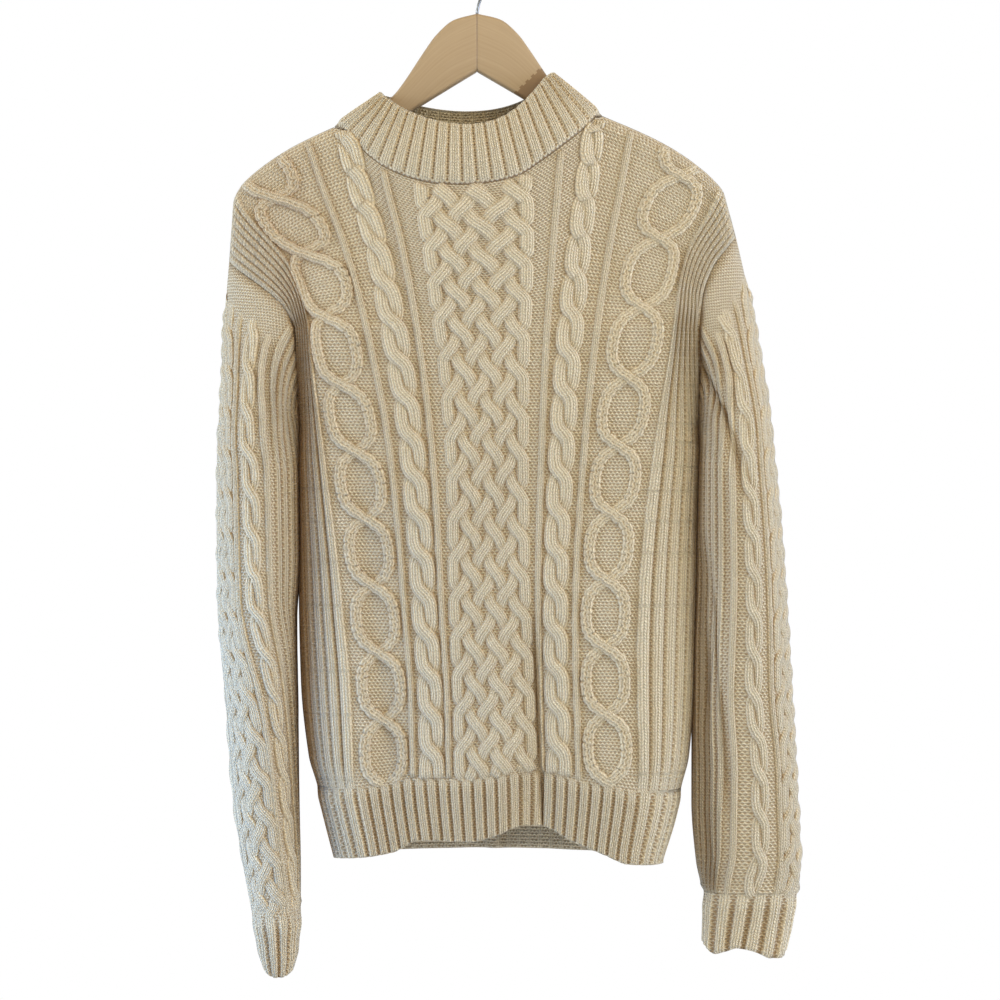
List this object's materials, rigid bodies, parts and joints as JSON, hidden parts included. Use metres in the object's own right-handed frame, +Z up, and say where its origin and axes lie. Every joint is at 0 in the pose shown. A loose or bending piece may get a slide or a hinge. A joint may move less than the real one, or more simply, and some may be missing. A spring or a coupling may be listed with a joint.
{
  "type": "cable knit sweater on a wooden hanger",
  "caption": "Long-sleeved cable knit sweater with a ribbed mock neck, hem and cuffs, hanging open and empty on a flat wooden hanger with a wire hook.",
  "frame": {"origin": "inside top of the hook's bend, where the rail touches it", "axes": "+Z up, +X towards the wearer's left, -Y towards the sweater's front"},
  "size_m": [0.5248, 0.1191, 0.9273],
  "materials": {
    "wool_front": "cream knitted wool, matt, slightly fuzzy",
    "wool_back": "cream knitted wool, matt, slightly fuzzy",
    "wool_sleeve_right": "cream knitted wool, matt, slightly fuzzy",
    "wool_sleeve_left": "cream knitted wool, matt, slightly fuzzy",
    "wool_collar": "cream knitted wool, matt, slightly fuzzy",
    "wood_arm_right": "pale wood, satin lacquer",
    "wood_arm_left": "pale wood, satin lacquer",
    "steel_hook": "polished steel wire"
  },
  "bodies": {
    "root": {"front": "wool_front", "back": "wool_back", "sleeve_right": "wool_sleeve_right", "sleeve_left": "wool_sleeve_left", "collar": "wool_collar", "hanger_arm_right": "wood_arm_right", "hanger_arm_left": "wood_arm_left", "hanger_hook": "steel_hook"}
  },
  "joints": []
}
